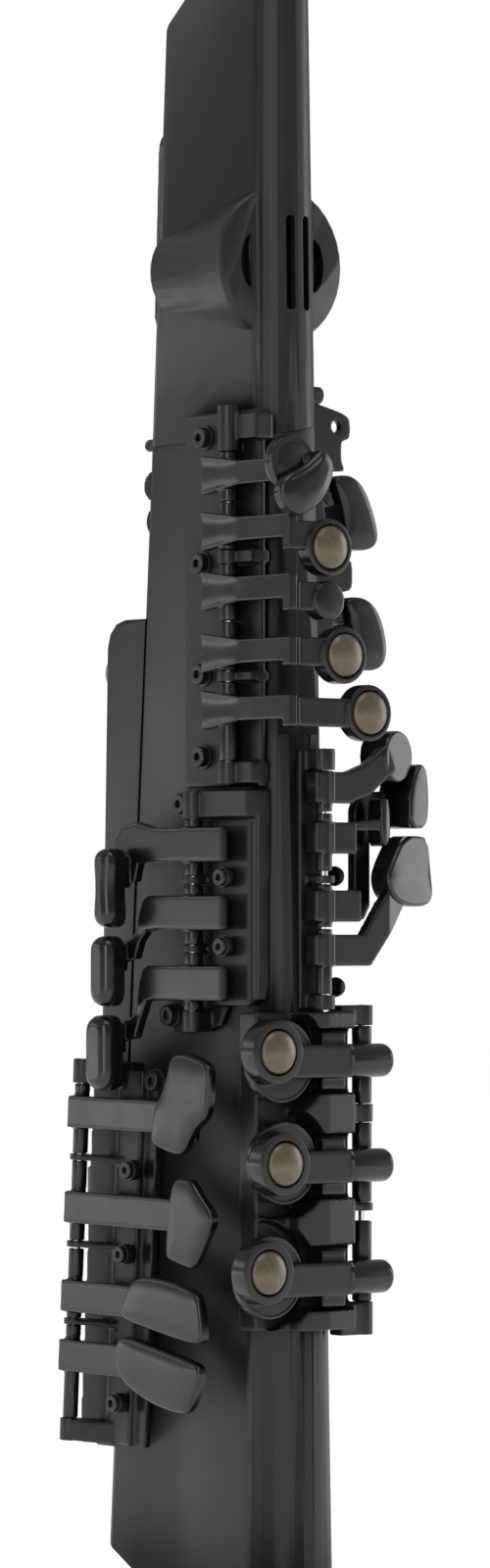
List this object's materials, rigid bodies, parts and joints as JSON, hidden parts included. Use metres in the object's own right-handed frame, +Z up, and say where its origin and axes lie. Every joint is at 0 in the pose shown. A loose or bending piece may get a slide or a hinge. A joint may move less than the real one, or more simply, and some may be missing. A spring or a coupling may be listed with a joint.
{
  "type": "digital wind controller",
  "caption": "Tall electronic wind instrument body with sprung saxophone-style keys on steel rods, rear thumb controls, strap ring, curved neck and reed mouthpiece.",
  "frame": {"origin": "middle of the flat bottom end, on the end cap's lower face", "axes": "+Z runs up the body towards the neck, -Y is the front that the finger pearls face, -X is the player's right"},
  "size_m": [0.0765, 0.1774, 0.5184],
  "materials": {
    "body_plastic": "satin",
    "key_plastic": "semi-gloss",
    "plate_plastic": "satin",
    "pearl": "champagne satin",
    "steel": "polished",
    "reed_cane": "matt",
    "board": "satin",
    "cell": "satin"
  },
  "bodies": {
    "instrument": {"main_board": "board", "head_shell_right": "body_plastic", "head_shell_left": "body_plastic", "body_shell_right": "body_plastic", "body_shell_left": "body_plastic", "end_cap": "body_plastic", "rear_housing": "body_plastic", "battery_door": "body_plastic", "battery_pack": "cell", "speaker_driver": "key_plastic", "neck_collar": "key_plastic", "neck_tube": "key_plastic", "mouthpiece": "key_plastic", "reed": "reed_cane", "ligature": "key_plastic", "control_panel": "key_plastic", "thumb_rest": "key_plastic", "thumb_hook": "key_plastic", "strap_ring": "steel", "upper_plate": "plate_plastic", "upper_rod": "steel", "palm_bracket": "plate_plastic", "table_plate": "plate_plastic", "table_rod": "steel", "side_plate": "plate_plastic", "side_rod": "steel", "lower_block": "plate_plastic", "lower_rod": "steel", "pinky_rail": "plate_plastic", "pinky_rod": "steel"},
    "button_low": {"button_1": "key_plastic"},
    "button_high": {"button_2": "key_plastic"},
    "octave": {"octave_lever": "key_plastic"},
    "front_f": {"front_f_key": "key_plastic"},
    "b": {"b_key": "key_plastic", "b_pearl": "pearl"},
    "bis": {"bis_key": "key_plastic"},
    "a": {"a_key": "key_plastic", "a_pearl": "pearl"},
    "g": {"g_key": "key_plastic", "g_pearl": "pearl"},
    "palm_high": {"palm_key_1": "key_plastic"},
    "palm_low": {"palm_key_2": "key_plastic"},
    "table_first": {"table_key_1": "key_plastic"},
    "table_second": {"table_key_2": "key_plastic"},
    "table_third": {"table_key_3": "key_plastic"},
    "table_fourth": {"table_key_4": "key_plastic"},
    "side_first": {"side_key_1": "key_plastic"},
    "side_second": {"side_key_2": "key_plastic"},
    "side_third": {"side_key_3": "key_plastic"},
    "f": {"f_key": "key_plastic", "f_pearl": "pearl"},
    "e": {"e_key": "key_plastic", "e_pearl": "pearl"},
    "d": {"d_key": "key_plastic", "d_pearl": "pearl"},
    "pinky_first": {"pinky_key_1": "key_plastic"},
    "pinky_second": {"pinky_key_2": "key_plastic"},
    "pinky_third": {"pinky_key_3": "key_plastic"},
    "pinky_fourth": {"pinky_key_4": "key_plastic"}
  },
  "joints": [
    {"name": "button_low_press", "type": "slide", "parent": "instrument", "child": "button_low", "axis": [0, -0.9992, -0.0393], "range_m": [0, 0.0006], "stiffness_N_per_m": 400, "springref_m": -0.0015},
    {"name": "button_high_press", "type": "slide", "parent": "instrument", "child": "button_high", "axis": [0, -0.9992, -0.0393], "range_m": [0, 0.0006], "stiffness_N_per_m": 400, "springref_m": -0.0015},
    {"name": "octave_press", "type": "hinge", "parent": "instrument", "child": "octave", "pos_m": [0, 0.03309, 0.30851], "axis": [-1, 0, 0], "range_deg": [0, 3], "stiffness_Nm_per_rad": 0.03, "springref_deg": -11.46},
    {"name": "front_f_press", "type": "hinge", "parent": "instrument", "child": "front_f", "pos_m": [-0.0155, -0.0123, 0.2976], "axis": [0, 0, 1], "range_deg": [0, 4], "stiffness_Nm_per_rad": 0.05, "springref_deg": -11.46},
    {"name": "b_press", "type": "hinge", "parent": "instrument", "child": "b", "pos_m": [-0.0155, -0.0123, 0.2826], "axis": [0, 0, 1], "range_deg": [0, 4], "stiffness_Nm_per_rad": 0.05, "springref_deg": -11.46},
    {"name": "bis_press", "type": "hinge", "parent": "instrument", "child": "bis", "pos_m": [-0.0155, -0.0123, 0.2665], "axis": [0, 0, 1], "range_deg": [0, 4], "stiffness_Nm_per_rad": 0.05, "springref_deg": -11.46},
    {"name": "a_press", "type": "hinge", "parent": "instrument", "child": "a", "pos_m": [-0.0155, -0.0123, 0.2499], "axis": [0, 0, 1], "range_deg": [0, 4], "stiffness_Nm_per_rad": 0.05, "springref_deg": -11.46},
    {"name": "g_press", "type": "hinge", "parent": "instrument", "child": "g", "pos_m": [-0.0155, -0.0123, 0.2346], "axis": [0, 0, 1], "range_deg": [0, 4], "stiffness_Nm_per_rad": 0.05, "springref_deg": -11.46},
    {"name": "palm_high_press", "type": "hinge", "parent": "instrument", "child": "palm_high", "pos_m": [0.014, -0.0088, 0.303], "axis": [0, 1, 0], "range_deg": [0, 5], "stiffness_Nm_per_rad": 0.05, "springref_deg": -11.46},
    {"name": "palm_low_press", "type": "hinge", "parent": "instrument", "child": "palm_low", "pos_m": [0.014, -0.0088, 0.27], "axis": [0, 1, 0], "range_deg": [0, 5], "stiffness_Nm_per_rad": 0.05, "springref_deg": -11.46},
    {"name": "table_first_press", "type": "hinge", "parent": "instrument", "child": "table_first", "pos_m": [0.0016, -0.0315, 0.21375], "axis": [0, 0, 1], "range_deg": [0, 3.5], "stiffness_Nm_per_rad": 0.05, "springref_deg": -11.46},
    {"name": "table_second_press", "type": "hinge", "parent": "instrument", "child": "table_second", "pos_m": [0.0016, -0.0315, 0.2003], "axis": [0, 0, 1], "range_deg": [0, 3.5], "stiffness_Nm_per_rad": 0.05, "springref_deg": -11.46},
    {"name": "table_third_press", "type": "hinge", "parent": "instrument", "child": "table_third", "pos_m": [0.0016, -0.0315, 0.1821], "axis": [0, 0, 1], "range_deg": [0, 3.5], "stiffness_Nm_per_rad": 0.05, "springref_deg": -11.46},
    {"name": "table_fourth_press", "type": "hinge", "parent": "instrument", "child": "table_fourth", "pos_m": [0.0016, -0.0315, 0.1703], "axis": [0, 0, 1], "range_deg": [0, 3.5], "stiffness_Nm_per_rad": 0.05, "springref_deg": -11.46},
    {"name": "side_first_press", "type": "hinge", "parent": "instrument", "child": "side_first", "pos_m": [-0.0175, 0.00035, 0.1986], "axis": [0, 0, -1], "range_deg": [0, 4], "stiffness_Nm_per_rad": 0.05, "springref_deg": -11.46},
    {"name": "side_second_press", "type": "hinge", "parent": "instrument", "child": "side_second", "pos_m": [-0.0175, 0.00035, 0.1803], "axis": [0, 0, -1], "range_deg": [0, 4], "stiffness_Nm_per_rad": 0.05, "springref_deg": -11.46},
    {"name": "side_third_press", "type": "hinge", "parent": "instrument", "child": "side_third", "pos_m": [-0.0175, 0.00035, 0.16145], "axis": [0, 0, -1], "range_deg": [0, 4], "stiffness_Nm_per_rad": 0.05, "springref_deg": -11.46},
    {"name": "f_press", "type": "hinge", "parent": "instrument", "child": "f", "pos_m": [0.0176, -0.028, 0.1409], "axis": [0, 0, -1], "range_deg": [0, 3.5], "stiffness_Nm_per_rad": 0.06, "springref_deg": -11.46},
    {"name": "e_press", "type": "hinge", "parent": "instrument", "child": "e", "pos_m": [0.0176, -0.028, 0.1129], "axis": [0, 0, -1], "range_deg": [0, 3.5], "stiffness_Nm_per_rad": 0.06, "springref_deg": -11.46},
    {"name": "d_press", "type": "hinge", "parent": "instrument", "child": "d", "pos_m": [0.0176, -0.028, 0.0832], "axis": [0, 0, -1], "range_deg": [0, 3.5], "stiffness_Nm_per_rad": 0.06, "springref_deg": -11.46},
    {"name": "pinky_first_press", "type": "hinge", "parent": "instrument", "child": "pinky_first", "pos_m": [-0.022, 0.0491, 0.0387], "axis": [0, -0.061, 0.9981], "range_deg": [0, 3], "stiffness_Nm_per_rad": 0.06, "springref_deg": -11.46},
    {"name": "pinky_second_press", "type": "hinge", "parent": "instrument", "child": "pinky_second", "pos_m": [-0.022, 0.0491, 0.0387], "axis": [0, -0.061, 0.9981], "range_deg": [0, 3], "stiffness_Nm_per_rad": 0.06, "springref_deg": -11.46},
    {"name": "pinky_third_press", "type": "hinge", "parent": "instrument", "child": "pinky_third", "pos_m": [-0.022, 0.0491, 0.0387], "axis": [0, -0.061, 0.9981], "range_deg": [0, 3], "stiffness_Nm_per_rad": 0.06, "springref_deg": -11.46},
    {"name": "pinky_fourth_press", "type": "hinge", "parent": "instrument", "child": "pinky_fourth", "pos_m": [-0.022, 0.0491, 0.0387], "axis": [0, -0.061, 0.9981], "range_deg": [0, 3], "stiffness_Nm_per_rad": 0.06, "springref_deg": -11.46}
  ]
}
